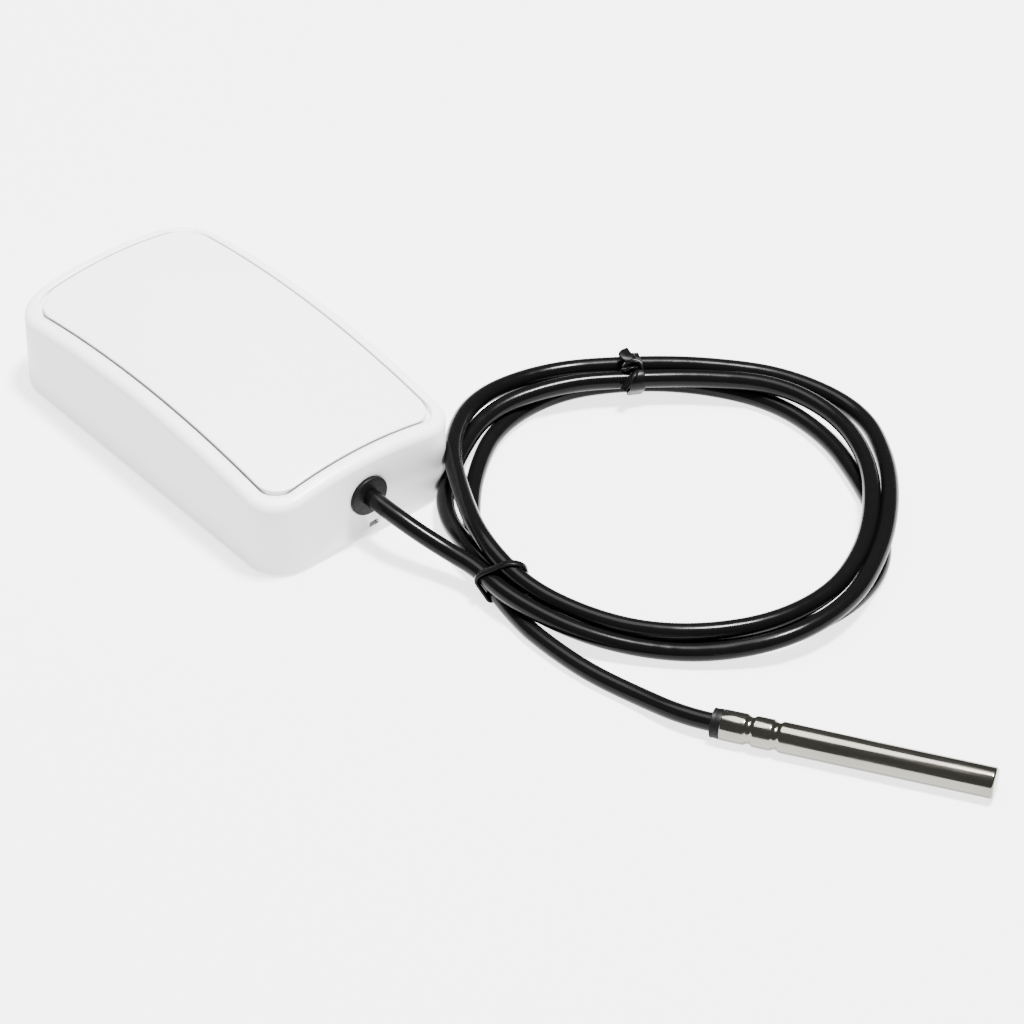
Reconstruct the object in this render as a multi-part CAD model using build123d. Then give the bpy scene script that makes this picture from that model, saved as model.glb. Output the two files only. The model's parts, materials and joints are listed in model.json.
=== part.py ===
from build123d import *
import os
from math import cos, degrees, pi, radians, sin, tan

os.makedirs("parts", exist_ok=True)

# Driving dimensions, millimetres.
# The case lies flat: +Z up, its length along Y, its cable end towards -Y, the origin under its middle.
# Its length, width and height follow from the cells and the board that it holds.
crown_along = 4.4         # fall of the crown from the middle to either end
crown_across = 3.4        # fall of the crown from the middle to either side
corner_cable_end = 7.8
corner_far_end = 9.5
rim_round = 1.8
foot_round = 1.2
wall = 2.4
smallest_corner = 0.4     # of an outline that is drawn in a long way

# Inlay panel and its recess
panel_inset = 3.2         # from the case's outline to the panel's
panel_thickness = 0.9
panel_proud = 0.15
panel_corner_cable_end = 5.5
panel_corner_far_end = 7.2
panel_edge_round = 0.35
panel_gap = 0.3
corner_sharper = 1.4      # how much smaller the recess's corners are than the panel's
adhesive_thickness = 0.15
adhesive_edge = 0.8       # from the panel's outline to the sheet's
adhesive_seat = 0.02      # between the sheet and the curved faces that it joins
ceiling = 1.3             # plastic left under the recess

# Base plate, let into the foot of the case
base_thickness = 2.0
ledge = 1.1               # seat of the base in the wall
base_clearance = 0.15
lip_height = 2.4
lip_thickness = 1.2
lip_clearance = 0.2
seal_width = 0.5
seal_depth = 0.6
pry_slot_x = 1.3
pry_slot_low = 2.5
pry_slot_width = 2.2
pry_slot_height = 1.2
pry_slot_depth = 0.8

# Cover screws and the bosses that they run into
boss_inset = 4.6          # from the inner wall to the boss's axis
boss_radius = 3.0
boss_rib = 1.2
rib_clearance = 1.0       # between the base's lip and the ribs
screw_radius = 1.25
screw_length = 7.6        # under the head
screw_head_radius = 2.3
screw_head_height = 1.2
head_inset = 0.2          # of the heads in the base
head_clearance = 0.25
shank_clearance = 0.3
cross_width = 0.7
cross_length = 2.6
cross_share = 0.55        # depth of the cross in a head's height

# Cable and its grommet
cord_diameter = 3.6
grommet_rise = 1.0        # of the hole's axis over the middle of the end wall
grommet_neck_radius = 3.1
grommet_flange_radius = 4.25
grommet_flange = 0.9
grommet_flange_round = 0.35
grommet_inner_radius = 4.0
grommet_inner_flange = 1.2
grommet_inner_taper = 0.5

# Circuit board
board_thickness = 1.6
board_standoff = 3.0
board_end_gap = 3.6       # from the board to the end walls
board_side_gap = 1.6      # from the board to the side walls
board_corner = 2.0
boss_notch_gap = 0.6
post_radius = 2.2
post_edge = 3.1           # from the board's side to a post's axis
post_near_row = 27.0      # from the board's cable end
post_far_row = 12.0       # from the board's far end
board_screw_radius = 1.0
board_screw_length = 4.0
board_screw_head_radius = 1.9
board_screw_head_height = 1.2

# Chips, radio and aerial, each placed from the board's side and its cable end
chip_stand = 0.1
chip_edge = 0.15
leg_length = 0.8
leg_thickness = 0.25
micro_place = (7.5, 13.0)
micro_size = (7.0, 7.0, 1.1)
micro_pins = 8            # on each side
micro_pitch = 0.8
memory_place = (10.9, 3.6)
memory_size = (4.0, 5.0, 1.2)
memory_pins = 4
memory_pitch = 1.27
crystal_place = (7.5, 19.4)
crystal_size = (3.2, 1.5, 0.9)
crystal_round = 0.6
radio_place = (6.9, 13.4)
radio_size = (10.0, 12.0, 2.4)
carrier_thickness = 0.6
can_inset = 0.8
can_round = 0.4
antenna_place = (11.1, 3.0)
antenna_size = (7.0, 2.4, 1.4)

# Plug and socket for the cable, and the cable's end inside the case
header_size = (6.0, 5.4, 5.0)
header_place = 11.4       # from the board's cable end
header_wall = 0.7
header_slot = 2.4         # for the plug's latch
plug_gap = 0.1
plug_reach = 2.4          # of the plug out of its socket
plug_height = 3.4
plug_edge = 0.3
latch_width = 1.8
latch_height = 0.6
latch_short = 1.6         # how much shorter the latch is than the plug
jacket_inside = 5.6       # of the cable past the grommet
clamp_width = 2.0
clamp_thickness = 1.0
clamp_lock = (3.2, 2.4)
clamp_gap = 0.6           # from the grommet
lead_wire_spacing = 1.43
plug_wire_spacing = 2.2
wire_bend = 0.6

# Two round cells in their holder
cell_radius = 5.25
cell_length = 44.5
cell_nub_radius = 1.9
cell_nub = 0.9
cell_edge = 0.4
cell_gap = 0.7            # between the two cells
cell_head_room = 3.31     # from the cells to the middle of the crowned ceiling
spring_room = 2.7         # left for a spring beside a cell
holder_side_gap = 0.45
holder_side_room = 7.2    # from the holder to the board's side
holder_margin = 3.0       # from the holder to the board's far end
radio_end = 21.0          # of the board, kept for the chips, the radio and the socket
holder_floor = 1.2
holder_wall = 1.0
holder_side_height = 5.0
holder_end_rise = 2.15    # of the end walls over the cells' axes
contact_thickness = 0.4
contact_width = 7.0
contact_rise = 1.15       # of a plate over a cell's axis
cell_ridge_width = 0.5
cell_ridge_height = 1.8
holder_hole = 2.5
spring_rise = 1.2         # of a spring's bend over a plate's height
spring_touch = 1.0        # from a plate's height down to where the spring meets the cell
spring_foot = 1.2         # height of the spring's free end
spring_foot_gap = 1.0     # of the free end from the holder's wall

# Probe, lying on the ground
probe_diameter = 6.0
probe_length = 52.0
probe_wall = 0.4
probe_tip_round = 0.6
groove_first = 5.4        # rolled grooves, from the cable end of the tube
groove_second = 10.5
groove_depth = 0.38
groove_width = 1.9
probe_start = (14.6, -129.2)
probe_heading = -57.8     # degrees from +X
sleeve_outside = 1.9
sleeve_radius = 2.9
sleeve_inside = 12.0
sleeve_edge = 0.25
bead_radius = 1.1
bead_from_tip = 4.5
wire_radius = 0.4
wire_spacing = 1.1

# Coil of three turns, measured at the cord's centre line from the coil's centre
coil_centre = (47.0, -79.0)
coil_outer = (49.6, 46.2, 44.8, 51.8, 46.8, 41.4, 41.0, 38.4, 39.4, 42.8, 41.8, 43.0)
coil_inner = (39.8, 40.4, 40.0, 44.8, 40.4, 37.4, 35.0, 35.0, 35.6, 37.0, 37.4, 38.2)
coil_layers = 2
coil_edge_round = 1.6
pocket_gap = 0.3          # round a cord where it enters the coil
pocket_depth = 14.0
coil_clearance = 0.4      # between the coil and the case

# Free cable outside the coil, from the grommet and to the probe
lead_route = (
    (0.0, -46.6, 10.8),
    (0.6, -50.9, 10.1),
    (2.2, -56.2, 8.4),
    (4.5, -62.2, 6.4),
    (6.2, -68.4, 5.5),
)
tail_route = (
    (6.2, -82.0, 1.8),
    (5.4, -92.0, 1.8),
    (6.0, -102.0, 1.8),
    (8.5, -111.8, 1.8),
)
tail_straight = 5.4       # last run, in line with the probe
arc_share = 0.45          # of the shorter run that an arc takes up at a corner

# Ties round the coil
upper_tie_angle = 59.4
upper_tie_width = 2.6
lower_tie_angle = 170.0
lower_tie_width = 1.4
tie_thickness = 0.7
tie_outer_round = 2.2
knot_size = (4.0, 3.4, 2.4)
knot_round = 0.9
knot_inset = 4.0          # from the coil's outer cord
knot_sink = 0.4           # of the knot in the band
tie_end_size = (4.6, 2.2, 0.8)
tie_end_turns = (20.0, 140.0)
tie_end_lifts = (29.0, -6.0)

# Values that follow from the ones above
cell_spacing = 2 * cell_radius + cell_gap
holder_width = cell_spacing + 2 * (cell_radius + holder_side_gap + holder_wall)
holder_length = cell_length + spring_room + 2 * (holder_wall + contact_thickness)
holder_end_height = holder_floor + cell_radius + holder_end_rise
contact_height = cell_radius + contact_rise
board_width = holder_width + 2 * holder_side_room
board_length = radio_end + holder_length + holder_margin
board_bottom = base_thickness + board_standoff
board_top = board_bottom + board_thickness
cell_low = board_top + holder_floor
adhesive_room = adhesive_thickness + 2 * adhesive_seat
case_width = board_width + 2 * (board_side_gap + wall)
case_length = board_length + 2 * (board_end_gap + wall)
case_height = cell_low + 2 * cell_radius + cell_head_room + ceiling + adhesive_room + panel_thickness
grommet_height = (case_height - crown_along) / 2 + grommet_rise
holder_y = board_length / 2 - holder_margin - holder_length / 2
header_y = header_place - board_length / 2
post_x = board_width / 2 - post_edge
post_rows = (post_near_row - board_length / 2, board_length / 2 - post_far_row)
shell_apex = case_height - panel_proud
recess_depth = panel_thickness + adhesive_room - panel_proud
ceiling_apex = shell_apex - recess_depth - ceiling
cord_radius = cord_diameter / 2
screw_seat = head_inset + screw_head_height
screw_tip = screw_seat + screw_length
radius_along = (case_length / 2) ** 2 / (2 * crown_along) + crown_along / 2
radius_across = (case_width / 2) ** 2 / (2 * crown_across) + crown_across / 2
boss_x = case_width / 2 - wall - boss_inset
boss_y = case_length / 2 - wall - boss_inset
boss_places = [(x, y) for x in (-boss_x, boss_x) for y in (-boss_y, boss_y)]
post_places = [(x, y) for x in (-post_x, post_x) for y in post_rows]
cable_face = -case_length / 2
inner_face = cable_face + wall
cord_start = (0.0, cable_face, grommet_height)
jacket_end = inner_face + grommet_inner_flange + jacket_inside
plug_width = header_size[0] - 2 * header_wall - 2 * plug_gap
plug_length = header_size[1] - header_wall + plug_reach
plug_back = header_y + header_size[1] / 2 - header_wall - plug_length
plug_low = board_top + header_wall + plug_gap
far_below = 20.0
spare = 1.0               # that a cut reaches past what it cuts
standing = (Align.CENTER, Align.CENTER, Align.MIN)
parts = {}


def keep(name, shape):
    """Notes a finished piece under its node's name."""
    parts[name] = shape


def plan(inset, near_radius=corner_cable_end, far_radius=corner_far_end):
    """The case's outline seen from above, drawn in by an inset."""
    outline = Rectangle(case_width - 2 * inset, case_length - 2 * inset)
    near = outline.vertices().sort_by(Axis.Y)[:2]
    outline = fillet(near, max(near_radius - inset, smallest_corner))
    far = outline.vertices().sort_by(Axis.Y)[-2:]
    corners = [v for v in outline.vertices() if abs(v.Y - far[0].Y) < 0.001]
    return fillet(corners, max(far_radius - inset, smallest_corner))


def under_crown(apex):
    """All that lies under the doubly curved crown whose highest point is at apex."""
    reach = case_width
    low = -far_below
    edge = apex - (radius_across - (radius_across**2 - reach**2) ** 0.5)
    arch = ThreePointArc((-reach, edge), (0, apex), (reach, edge))
    sides = Polyline((reach, edge), (reach, low), (-reach, low), (-reach, edge))
    section = Plane.XZ * make_face(Curve() + [arch, sides])
    swing = degrees(case_length / radius_along)
    hub = Axis((0, 0, apex - radius_along), (1, 0, 0))
    return revolve(section.rotate(hub, -swing), hub, 2 * swing)


def bar(points, height, start=0.0):
    """A straight-sided piece standing on start, of a closed outline."""
    return Pos(0, 0, start) * extrude(points, height)


def box_at(x, y, z, size_x, size_y, size_z):
    """A block centred on x and y that stands on z."""
    return Pos(x, y, z) * Box(size_x, size_y, size_z, align=standing)


def post_at(x, y, z, radius, height):
    """An upright round post that stands on z."""
    return Pos(x, y, z) * Cylinder(radius, height, align=standing)


def along_y(x, y, z, radius, length):
    """A round bar that starts at y and runs towards +Y."""
    return Pos(x, y, z) * Rot(-90, 0, 0) * Cylinder(radius, length, align=standing)


# Case
def make_top_cover():
    """White shell: walls, soft rim, recess for the panel, screw bosses with ribs, the grommet's hole."""
    body = bar(plan(0), case_height) & under_crown(shell_apex)
    crown = body.faces().sort_by(Axis.Z)[-1]
    body = fillet(crown.edges(), rim_round)
    foot = body.faces().sort_by(Axis.Z)[0]
    body = fillet(foot.edges(), foot_round)

    recess = plan(
        panel_inset - panel_gap,
        panel_corner_cable_end + panel_inset - corner_sharper,
        panel_corner_far_end + panel_inset - corner_sharper,
    )
    floor = under_crown(shell_apex - recess_depth)
    body -= bar(recess, case_height) - floor

    room = bar(plan(wall), case_height + spare, -spare) & under_crown(ceiling_apex)
    body -= room
    body -= bar(plan(wall - ledge), base_thickness + spare, -spare)

    posts = Part()
    for x, y in boss_places:
        side = 1 if x > 0 else -1
        end = 1 if y > 0 else -1
        posts += post_at(x, y, base_thickness, boss_radius, case_height)
        reach = boss_inset + wall / 2
        rib_start = base_thickness + lip_height + rib_clearance
        posts += box_at(x + side * reach / 2, y, rib_start, reach, boss_rib, case_height)
        posts += box_at(x, y + end * reach / 2, rib_start, boss_rib, reach, case_height)
    body += posts & under_crown(ceiling_apex + ceiling / 2)
    for x, y in boss_places:
        body -= post_at(x, y, 0, screw_radius, screw_tip + spare)

    body -= along_y(0, cable_face - spare, grommet_height, grommet_neck_radius, wall + 2 * spare)
    slot = (pry_slot_width, 2 * pry_slot_depth, pry_slot_height)
    return body - box_at(pry_slot_x, cable_face, pry_slot_low, *slot)


def make_front_panel():
    """Inlay plate that follows the crown, its upper edge rounded."""
    outline = plan(panel_inset, panel_corner_cable_end + panel_inset, panel_corner_far_end + panel_inset)
    plate = bar(outline, case_height + spare) & under_crown(case_height)
    top = plate.faces().sort_by(Axis.Z)[-1]
    plate = fillet(top.edges(), panel_edge_round)
    return plate - under_crown(case_height - panel_thickness)


def make_panel_adhesive():
    """Thin sheet that holds the panel in its recess."""
    outline = plan(
        panel_inset + adhesive_edge,
        panel_corner_cable_end + panel_inset,
        panel_corner_far_end + panel_inset,
    )
    top = case_height - panel_thickness - adhesive_seat
    sheet = bar(outline, case_height) & under_crown(top)
    return sheet - under_crown(top - adhesive_thickness)


def make_base_cover():
    """Bottom plate with a lip, a groove for the seal, posts for the board and holes for the four screws."""
    inset = wall - ledge + base_clearance
    plate = bar(plan(inset), base_thickness)
    lip = plan(wall + lip_clearance) - plan(wall + lip_clearance + lip_thickness)
    plate += bar(lip, lip_height, base_thickness)
    for x, y in boss_places:
        plate -= post_at(x, y, base_thickness, boss_radius + boss_notch_gap, lip_height + spare)
    plate -= bar(seal_outline(), seal_depth, base_thickness - seal_depth)
    for x, y in post_places:
        plate += post_at(x, y, base_thickness, post_radius, board_standoff)
        hole_start = board_top - board_screw_length - spare
        plate -= post_at(x, y, hole_start, board_screw_radius, board_screw_length)
    for x, y in boss_places:
        plate -= post_at(x, y, -spare, screw_radius + shank_clearance, base_thickness + 2 * spare)
        plate -= post_at(x, y, -spare, screw_head_radius + head_clearance, screw_seat + spare)
    return plate


def seal_outline():
    """The seal's narrow ring, in the middle of the base's seat."""
    outer = wall - (ledge - base_clearance) / 2 - seal_width / 2
    return plan(outer) - plan(outer + seal_width)


def make_base_seal():
    """Rubber cord pressed between the base and the ledge."""
    return bar(seal_outline(), seal_depth, base_thickness - seal_depth)


def screw(x, y, head_bottom, head_radius, head_height, radius, length):
    """A cross-headed screw that points up from its head, or down where its length is negative."""
    way = 1 if length > 0 else -1
    head = post_at(x, y, head_bottom, head_radius, head_height)
    shank_start = head_bottom + (head_height if way > 0 else length)
    body = head + post_at(x, y, shank_start, radius, abs(length))
    face = head_bottom if way > 0 else head_bottom + head_height
    for size in ((cross_width, cross_length), (cross_length, cross_width)):
        body -= Pos(x, y, face) * Box(*size, 2 * cross_share * head_height)
    return body


def make_cover_screws():
    """Four self-tapping screws, driven from below into the bosses."""
    return [
        screw(x, y, head_inset, screw_head_radius, screw_head_height, screw_radius, screw_length)
        for x, y in boss_places
    ]


def make_grommet():
    """Rubber bush in the wall: a flange on either side and the cable through it."""
    outside = [
        (cord_radius, cable_face - grommet_flange),
        (grommet_flange_radius, cable_face - grommet_flange),
        (grommet_flange_radius, cable_face),
        (grommet_neck_radius, cable_face),
        (grommet_neck_radius, inner_face),
        (grommet_inner_radius, inner_face),
        (grommet_inner_radius - grommet_inner_taper, inner_face + grommet_inner_flange),
        (cord_radius, inner_face + grommet_inner_flange),
    ]
    face = make_face(Polyline(*outside, close=True))
    body = Pos(0, 0, grommet_height) * revolve(face, Axis.Y)
    rim = body.faces().sort_by(Axis.Y)[0].edges().sort_by(SortBy.LENGTH)[-1]
    return fillet([rim], grommet_flange_round)


# Inside
def make_circuit_board():
    """Board with notches for the bosses and holes for its screws."""
    outline = fillet(Rectangle(board_width, board_length).vertices(), board_corner)
    board = bar(outline, board_thickness, board_bottom)
    for x, y in boss_places:
        notch = boss_radius + boss_notch_gap
        board -= post_at(x, y, board_bottom - spare, notch, board_thickness + 2 * spare)
        side = 1 if x > 0 else -1
        end = 1 if y > 0 else -1
        board -= box_at(x + side * boss_inset, y + end * boss_inset, board_bottom - spare,
                        2 * boss_inset, 2 * boss_inset, board_thickness + 2 * spare)
    for x, y in post_places:
        hole = board_screw_radius + shank_clearance
        board -= post_at(x, y, board_bottom - spare, hole, board_thickness + 2 * spare)
    return board


def make_board_screws():
    """Four small screws that hold the board on its posts."""
    return [
        screw(x, y, board_top, board_screw_head_radius, board_screw_head_height, board_screw_radius,
              -board_screw_length)
        for x, y in post_places
    ]


def on_board(place, side):
    """A place's x and y, measured from the board's right side (1) or left side (-1) and its cable end."""
    return side * (board_width / 2 - place[0]), place[1] - board_length / 2


def chip(place, size, pins, pitch, sides):
    """A flat package on the board's left, with a row of legs on two or four sides."""
    x, y = on_board(place, -1)
    body = box_at(x, y, board_top + chip_stand, *size)
    body = chamfer(body.edges().group_by(Axis.Z)[-1], chip_edge)
    for k in range(pins):
        shift = (k - (pins - 1) / 2) * pitch
        for way in (-1, 1):
            leg = (2 * leg_length, pitch / 2, leg_thickness)
            body += box_at(x + way * size[0] / 2, y + shift, board_top, *leg)
            if sides == 4:
                leg = (pitch / 2, 2 * leg_length, leg_thickness)
                body += box_at(x + shift, y + way * size[1] / 2, board_top, *leg)
    return body


def make_radio_module():
    """Small carrier with a screening can on it."""
    width, length, height = radio_size
    x, y = on_board(radio_place, 1)
    carrier = box_at(x, y, board_top, width, length, carrier_thickness)
    can = box_at(x, y, board_top + carrier_thickness, width - 2 * can_inset, length - 2 * can_inset,
                 height - carrier_thickness)
    return carrier + fillet(can.edges().group_by(Axis.Z)[-1], can_round)


def make_clock_crystal():
    """Small metal can with round ends."""
    can = box_at(*on_board(crystal_place, -1), board_top, *crystal_size)
    return fillet(can.edges().filter_by(Axis.Z), crystal_round)


def make_probe_header():
    """Open box on the board that takes the plug from the cable's side."""
    width, length, height = header_size
    floor = board_top + header_wall
    body = box_at(0, header_y, board_top, *header_size)
    room = (width - 2 * header_wall, length, height - 2 * header_wall)
    body -= box_at(0, header_y - header_wall, floor, *room)
    return body - box_at(0, header_y - header_wall, floor, header_slot, length, height)


def make_probe_plug():
    """Plug with a latch on top."""
    middle = plug_back + plug_length / 2
    body = box_at(0, middle, plug_low, plug_width, plug_length, plug_height)
    body = chamfer(body.edges().filter_by(Axis.Y), plug_edge)
    latch = (latch_width, plug_length - latch_short, latch_height)
    return body + box_at(0, middle, plug_low + plug_height, *latch)


def make_lead_wires():
    """Two wires from the jacket's end to the plug."""
    wires = []
    straight = (plug_back - jacket_end) / 8
    for side in (-1, 1):
        start = Vector(side * lead_wire_spacing / 2, jacket_end, grommet_height)
        finish = Vector(side * plug_wire_spacing / 2, plug_back, plug_low + plug_height / 2)
        first_bend = start + Vector(0, straight, 0)
        last_bend = finish - Vector(0, straight, 0)
        path = FilletPolyline(start, first_bend, last_bend, finish, radius=wire_bend)
        wires.append(sweep(Plane(start, z_dir=(0, 1, 0)) * Circle(wire_radius), path=path))
    return wires


def make_lead_clamp():
    """Tie pulled tight round the jacket behind the grommet, with its lock."""
    start = inner_face + grommet_inner_flange + clamp_gap
    ring = along_y(0, start, grommet_height, cord_radius + clamp_thickness, clamp_width)
    lock_width, lock_height = clamp_lock
    lock = (lock_width, clamp_width, cord_radius + lock_height)
    ring += box_at(0, start + clamp_width / 2, grommet_height, *lock)
    return ring - along_y(0, start - spare, grommet_height, cord_radius, clamp_width + 2 * spare)


def cell_x(side):
    """The middle of one of the two cells."""
    return side * cell_spacing / 2


def contact_y():
    """Distance from the holder's middle to the inner face of a contact."""
    return holder_length / 2 - holder_wall - contact_thickness


def make_battery_holder():
    """Tray with low side walls, higher ends and a ridge between the cells."""
    tray = box_at(0, holder_y, board_top, holder_width, holder_length, holder_end_height)
    inner_length = holder_length - 2 * holder_wall
    tray -= box_at(0, holder_y, cell_low, holder_width - 2 * holder_wall, inner_length, case_height)
    side_top = board_top + holder_side_height
    tray -= box_at(0, holder_y, side_top, holder_width + spare, inner_length, case_height)
    ridge_height = holder_floor + cell_ridge_height
    tray += box_at(0, holder_y, board_top, cell_ridge_width, inner_length, ridge_height)
    for side in (-1, 1):
        tray -= post_at(cell_x(side), holder_y, board_top - spare, holder_hole, holder_floor + 2 * spare)
    return tray


def make_battery_cells():
    """Two round cells that point opposite ways."""
    cells = []
    for side in (-1, 1):
        body_length = cell_length - cell_nub
        can = Cylinder(cell_radius, body_length, align=(Align.CENTER, Align.CENTER, Align.MAX))
        can = fillet(can.edges(), cell_edge)
        nub = Cylinder(cell_nub_radius, cell_nub, align=(Align.CENTER, Align.CENTER, Align.MIN))
        cell = Pos(0, 0, -cell_nub) * (can + nub)
        turn = Rot(-90, 0, 0) if side > 0 else Rot(90, 0, 0)
        height = cell_low + cell_radius
        cells.append(Pos(cell_x(side), holder_y + side * contact_y(), height) * turn * cell)
    return cells


def make_battery_contacts():
    """Two flat plates at the cells' positive ends."""
    plates = []
    for side in (-1, 1):
        y = holder_y + side * (contact_y() + contact_thickness / 2)
        plates.append(box_at(cell_x(side), y, cell_low, contact_width, contact_thickness, contact_height))
    return plates


def bent_strip(points, thickness):
    """Outline of a strip of even thickness with points along its right side."""
    stops = [Vector(*p) for p in points]
    ways = [(after - before).normalized() for before, after in zip(stops, stops[1:])]
    normals = [Vector(-way.Y, way.X) * thickness for way in ways]
    inner = [stops[0] + normals[0]]
    for stop, before, after in zip(stops[1:], normals, normals[1:]):
        both = before + after
        inner.append(stop + both * (thickness**2 / both.dot(before)))
    inner.append(stops[-1] + normals[-1])
    return make_face(Polyline(*stops, *reversed(inner), close=True))


def make_battery_springs():
    """Two bowed leaf springs at the cells' negative ends."""
    springs = []
    for side in (-1, 1):
        wall_y = contact_y() + contact_thickness
        low = cell_low
        outline = [
            (wall_y, low),
            (wall_y, low + contact_height + spring_rise),
            (cell_length - contact_y(), low + contact_height - spring_touch),
            (wall_y - spring_foot_gap, low + spring_foot),
        ]
        leaf = extrude(Plane.YZ * bent_strip(outline, contact_thickness), contact_width / 2, both=True)
        turn = Rot(0, 0, 180) if side > 0 else Rot(0, 0, 0)
        springs.append(Pos(cell_x(side), holder_y, 0) * turn * leaf)
    return springs


# Cable
def cord_tube(name, points):
    """A round tube along straight runs joined by tangent arcs."""
    stops = [Vector(*p) for p in points]
    radii = []
    for before, corner, after in zip(stops, stops[1:], stops[2:]):
        arriving = corner - before
        leaving = after - corner
        half_turn = radians(arriving.get_angle(leaving)) / 2
        radii.append(arc_share * min(arriving.length, leaving.length) / tan(half_turn))
    path = FilletPolyline(*stops, radius=radii)
    section = Plane(path @ 0, z_dir=path % 0) * Circle(cord_radius)
    tube = sweep(section, path=path)
    ratio = tube.volume / (pi * cord_radius**2 * path.length)
    print(name, "tightest arc", round(min(radii), 1), "length", round(path.length, 1), "filled", round(ratio, 4))
    return tube


def heading(angle):
    """Unit vector on the ground."""
    return Vector(cos(radians(angle)), sin(radians(angle)), 0)


probe_height = probe_diameter / 2
probe_axis = heading(probe_heading)
probe_mouth = Vector(*probe_start, probe_height)
sleeve_end = probe_mouth - probe_axis * sleeve_outside
lead_points = (cord_start, *lead_route)
tail_points = (*tail_route, sleeve_end - probe_axis * tail_straight, sleeve_end)


def make_inner_lead():
    """The cable's jacket from the wall's outer face to its cut end inside the case."""
    return along_y(0, cable_face, grommet_height, cord_radius, jacket_end - cable_face)


def ring_curve(radii, shift):
    """Closed smooth curve through radii at even steps round the coil."""
    step = 360 / len(radii)
    points = [
        Vector(*coil_centre, 0) + heading(k * step) * (r + shift)
        for k, r in enumerate(radii)
    ]
    return make_face(Spline(*points, periodic=True))


def coil_place(angle, radius, height):
    """A frame on the coil: x outwards, z along the cord."""
    origin = Vector(*coil_centre, height) + heading(angle) * radius
    return Plane(origin, x_dir=heading(angle), z_dir=heading(angle + 90))


def radius_at(radii, angle):
    """The radius between two of the coil's steps."""
    step = 360 / len(radii)
    k = int(angle // step)
    part = (angle - k * step) / step
    return radii[k] * (1 - part) + radii[(k + 1) % len(radii)] * part


coil_height = coil_layers * cord_diameter


def tie_band(angle, width):
    """A band round the bundle, level with the ground below."""
    inner = radius_at(coil_inner, angle) - cord_radius
    outer = radius_at(coil_outer, angle) + cord_radius
    middle = (inner + outer) / 2
    place = coil_place(angle, middle, (coil_height + tie_thickness) / 2)
    loop = RectangleRounded(outer - inner + 2 * tie_thickness, coil_height + tie_thickness, tie_outer_round)
    hole = RectangleRounded(outer - inner, coil_height - tie_thickness, coil_edge_round)
    return extrude(place * (loop - hole), width / 2, both=True)


def end_pocket(points, last):
    """Room for a cord's end in the coil, ending flat where the cord does."""
    near, far = (points[-2], points[-1]) if last else (points[1], points[0])
    tip = Vector(*far)
    back = (Vector(*near) - tip).normalized()
    return extrude(Plane(tip, z_dir=back) * Circle(cord_radius + pocket_gap), pocket_depth)


def make_cable_coil():
    """One closed body of the coil's outer shape, waisted where the ties hold it."""
    ring = ring_curve(coil_outer, cord_radius) - ring_curve(coil_inner, -cord_radius)
    body = extrude(ring, coil_height)
    body = fillet(body.edges(), coil_edge_round)
    body -= tie_band(upper_tie_angle, upper_tie_width)
    body -= tie_band(lower_tie_angle, lower_tie_width)
    body -= end_pocket(lead_points, True)
    body -= end_pocket(tail_points, False)
    body -= bar(plan(-coil_clearance), case_height)
    solids = body.solids().sort_by(SortBy.VOLUME)
    return solids[-1]


def make_upper_tie():
    """Band with its knot on top and two short ends."""
    band = tie_band(upper_tie_angle, upper_tie_width)
    outer = radius_at(coil_outer, upper_tie_angle)
    top = coil_height + tie_thickness
    origin = Vector(*coil_centre, top) + heading(upper_tie_angle) * (outer - knot_inset)
    place = Plane(origin, x_dir=heading(upper_tie_angle), z_dir=(0, 0, 1))
    block = Box(*knot_size, align=standing)
    knot = place * (Pos(0, 0, -knot_sink) * fillet(block.edges(), knot_round))
    ends = Part()
    for turn, lift in zip(tie_end_turns, tie_end_lifts):
        strip = Box(*tie_end_size, align=(Align.MIN, Align.CENTER, Align.CENTER))
        ends += place * (Pos(0, 0, knot_size[2] / 2) * Rot(0, 0, turn) * Rot(0, -lift, 0) * strip)
    return band + knot + ends


# Probe
def probe_place():
    """Frame at the tube's mouth, z along the probe."""
    return Plane(probe_mouth, x_dir=(0, 0, 1), z_dir=probe_axis)


def tube_outline(radius, start, end, end_round):
    """Half the section of a round body with the two rolled grooves, from its axis outwards."""
    line = [(start, 0), (start, radius)]
    for middle in (groove_first, groove_second):
        half = groove_width / 2
        for part in (-1.0, -0.5, 0.0, 0.5, 1.0):
            dip = groove_depth * cos(part * pi / 2) ** 1.5 if abs(part) < 1 else 0.0
            line.append((middle + part * half, radius - dip))
    edges = Curve()
    edges += Line(line[0], line[1])
    edges += Line(line[1], line[2])
    edges += Spline(*line[2:7], tangents=((1, 0), (1, 0)))
    edges += Line(line[6], line[7])
    edges += Spline(*line[7:12], tangents=((1, 0), (1, 0)))
    edges += Line(line[11], (end - end_round, radius))
    edges += RadiusArc((end - end_round, radius), (end, radius - end_round), end_round)
    edges += Line((end, radius - end_round), (end, 0))
    edges += Line((end, 0), (start, 0))
    return make_face(edges)


def turned(face):
    """The body that a half section makes when turned about the probe's axis."""
    body = revolve(face, Axis.X)
    return probe_place() * Rot(0, -90, 0) * body


def make_probe_tube():
    """Steel tube with two rolled grooves and a closed, flat tip."""
    outer = tube_outline(probe_diameter / 2, 0, probe_length, probe_tip_round)
    inner = tube_outline(probe_diameter / 2 - probe_wall, 0, probe_length - probe_wall, probe_tip_round / 2)
    return turned(outer) - turned(inner)


def probe_bar(start, radius, length):
    """A round bar on the probe's axis."""
    return probe_place() * Pos(0, 0, start) * Cylinder(radius, length, align=standing)


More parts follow.
